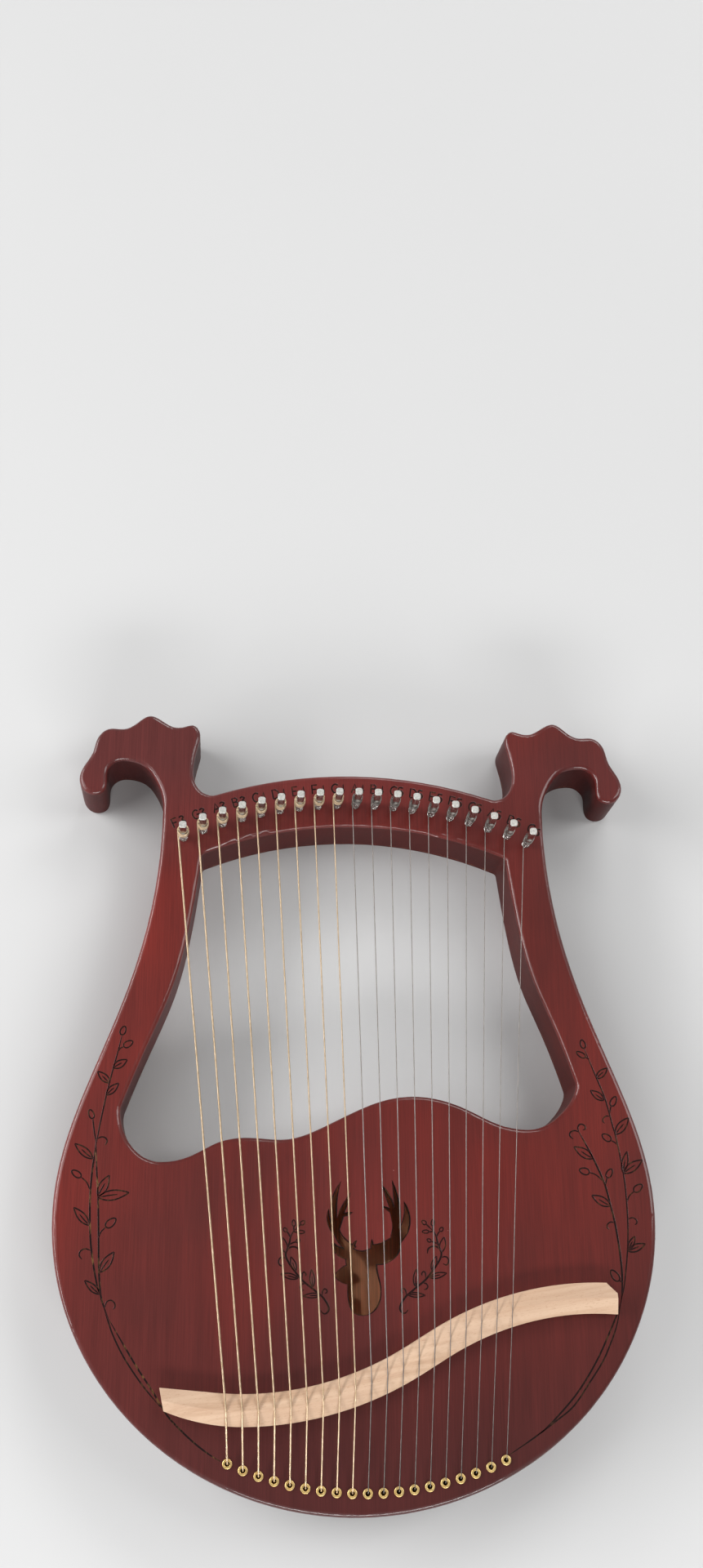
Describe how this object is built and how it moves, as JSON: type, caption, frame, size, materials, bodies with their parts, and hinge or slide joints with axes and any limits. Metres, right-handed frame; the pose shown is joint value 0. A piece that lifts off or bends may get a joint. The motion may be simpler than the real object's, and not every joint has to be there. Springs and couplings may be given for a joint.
{
  "type": "lyre harp",
  "caption": "Small wooden lyre harp with a hollow body, two arms with carved scrolls, an arched yoke of tuning pins, a curved bridge and a row of steel and bronze strings.",
  "frame": {"origin": "centre of the harp's bounding box, on its flat back", "axes": "+X across the strings towards the treble side, +Y from the string anchors up to the scrolls, +Z out of the soundboard"},
  "size_m": [0.348, 0.4646, 0.067],
  "materials": {
    "lacquered_wood": "wine-red stained mahogany under semi-gloss lacquer, fine upright grain, bare brown inside the body",
    "bare_wood": "unfinished spruce-coloured bracing wood",
    "beech": "natural beech, sanded, fine flecks",
    "nickel": "nickel-plated steel, polished end, darker shank",
    "bronze_wound_string": "bronze winding on a steel core",
    "plain_steel_string": "bright plain steel wire",
    "brass": "polished brass"
  },
  "bodies": {
    "frame": {"soundboard": "lacquered_wood", "back": "lacquered_wood", "wrest_plank": "lacquered_wood", "bass_arm": "lacquered_wood", "treble_arm": "lacquered_wood", "bass_scroll": "lacquered_wood", "treble_scroll": "lacquered_wood", "bass_rim": "lacquered_wood", "treble_rim": "lacquered_wood", "upper_rim": "lacquered_wood", "end_block": "lacquered_wood", "soundboard_brace": "bare_wood", "bass_tone_bar": "bare_wood", "treble_tone_bar": "bare_wood", "back_brace": "bare_wood", "bridge": "beech", "eyelets": "brass", "ball_ends": "brass", "string_01": "bronze_wound_string", "string_02": "bronze_wound_string", "string_03": "bronze_wound_string", "string_04": "bronze_wound_string", "string_05": "bronze_wound_string", "string_06": "bronze_wound_string", "string_07": "bronze_wound_string", "string_08": "bronze_wound_string", "string_09": "bronze_wound_string", "string_10": "plain_steel_string", "string_11": "plain_steel_string", "string_12": "plain_steel_string", "string_13": "plain_steel_string", "string_14": "plain_steel_string", "string_15": "plain_steel_string", "string_16": "plain_steel_string", "string_17": "plain_steel_string", "string_18": "plain_steel_string", "string_19": "plain_steel_string"},
    "pin_01": {"tuning_pin_01": "nickel"},
    "pin_02": {"tuning_pin_02": "nickel"},
    "pin_03": {"tuning_pin_03": "nickel"},
    "pin_04": {"tuning_pin_04": "nickel"},
    "pin_05": {"tuning_pin_05": "nickel"},
    "pin_06": {"tuning_pin_06": "nickel"},
    "pin_07": {"tuning_pin_07": "nickel"},
    "pin_08": {"tuning_pin_08": "nickel"},
    "pin_09": {"tuning_pin_09": "nickel"},
    "pin_10": {"tuning_pin_10": "nickel"},
    "pin_11": {"tuning_pin_11": "nickel"},
    "pin_12": {"tuning_pin_12": "nickel"},
    "pin_13": {"tuning_pin_13": "nickel"},
    "pin_14": {"tuning_pin_14": "nickel"},
    "pin_15": {"tuning_pin_15": "nickel"},
    "pin_16": {"tuning_pin_16": "nickel"},
    "pin_17": {"tuning_pin_17": "nickel"},
    "pin_18": {"tuning_pin_18": "nickel"},
    "pin_19": {"tuning_pin_19": "nickel"}
  },
  "joints": [
    {"name": "tune_01", "type": "hinge", "parent": "frame", "child": "pin_01", "pos_m": [-0.1054, 0.15207, 0.04], "axis": [0, 0, 1], "range_deg": [-45, 1080]},
    {"name": "tune_02", "type": "hinge", "parent": "frame", "child": "pin_02", "pos_m": [-0.0936, 0.1571, 0.04], "axis": [0, 0, 1], "range_deg": [-45, 1080]},
    {"name": "tune_03", "type": "hinge", "parent": "frame", "child": "pin_03", "pos_m": [-0.0818, 0.16145, 0.04], "axis": [0, 0, 1], "range_deg": [-45, 1080]},
    {"name": "tune_04", "type": "hinge", "parent": "frame", "child": "pin_04", "pos_m": [-0.07, 0.16514, 0.04], "axis": [0, 0, 1], "range_deg": [-45, 1080]},
    {"name": "tune_05", "type": "hinge", "parent": "frame", "child": "pin_05", "pos_m": [-0.0582, 0.16823, 0.04], "axis": [0, 0, 1], "range_deg": [-45, 1080]},
    {"name": "tune_06", "type": "hinge", "parent": "frame", "child": "pin_06", "pos_m": [-0.0464, 0.17071, 0.04], "axis": [0, 0, 1], "range_deg": [-45, 1080]},
    {"name": "tune_07", "type": "hinge", "parent": "frame", "child": "pin_07", "pos_m": [-0.0346, 0.17262, 0.04], "axis": [0, 0, 1], "range_deg": [-45, 1080]},
    {"name": "tune_08", "type": "hinge", "parent": "frame", "child": "pin_08", "pos_m": [-0.0228, 0.17396, 0.04], "axis": [0, 0, 1], "range_deg": [-45, 1080]},
    {"name": "tune_09", "type": "hinge", "parent": "frame", "child": "pin_09", "pos_m": [-0.011, 0.17475, 0.04], "axis": [0, 0, 1], "range_deg": [-45, 1080]},
    {"name": "tune_10", "type": "hinge", "parent": "frame", "child": "pin_10", "pos_m": [0.0008, 0.17499, 0.04], "axis": [0, 0, 1], "range_deg": [-45, 1080]},
    {"name": "tune_11", "type": "hinge", "parent": "frame", "child": "pin_11", "pos_m": [0.0126, 0.17468, 0.04], "axis": [0, 0, 1], "range_deg": [-45, 1080]},
    {"name": "tune_12", "type": "hinge", "parent": "frame", "child": "pin_12", "pos_m": [0.0244, 0.17381, 0.04], "axis": [0, 0, 1], "range_deg": [-45, 1080]},
    {"name": "tune_13", "type": "hinge", "parent": "frame", "child": "pin_13", "pos_m": [0.0362, 0.17239, 0.04], "axis": [0, 0, 1], "range_deg": [-45, 1080]},
    {"name": "tune_14", "type": "hinge", "parent": "frame", "child": "pin_14", "pos_m": [0.048, 0.17041, 0.04], "axis": [0, 0, 1], "range_deg": [-45, 1080]},
    {"name": "tune_15", "type": "hinge", "parent": "frame", "child": "pin_15", "pos_m": [0.0598, 0.16784, 0.04], "axis": [0, 0, 1], "range_deg": [-45, 1080]},
    {"name": "tune_16", "type": "hinge", "parent": "frame", "child": "pin_16", "pos_m": [0.0716, 0.16468, 0.04], "axis": [0, 0, 1], "range_deg": [-45, 1080]},
    {"name": "tune_17", "type": "hinge", "parent": "frame", "child": "pin_17", "pos_m": [0.0834, 0.1609, 0.04], "axis": [0, 0, 1], "range_deg": [-45, 1080]},
    {"name": "tune_18", "type": "hinge", "parent": "frame", "child": "pin_18", "pos_m": [0.0952, 0.15646, 0.04], "axis": [0, 0, 1], "range_deg": [-45, 1080]},
    {"name": "tune_19", "type": "hinge", "parent": "frame", "child": "pin_19", "pos_m": [0.107, 0.15133, 0.04], "axis": [0, 0, 1], "range_deg": [-45, 1080]}
  ]
}
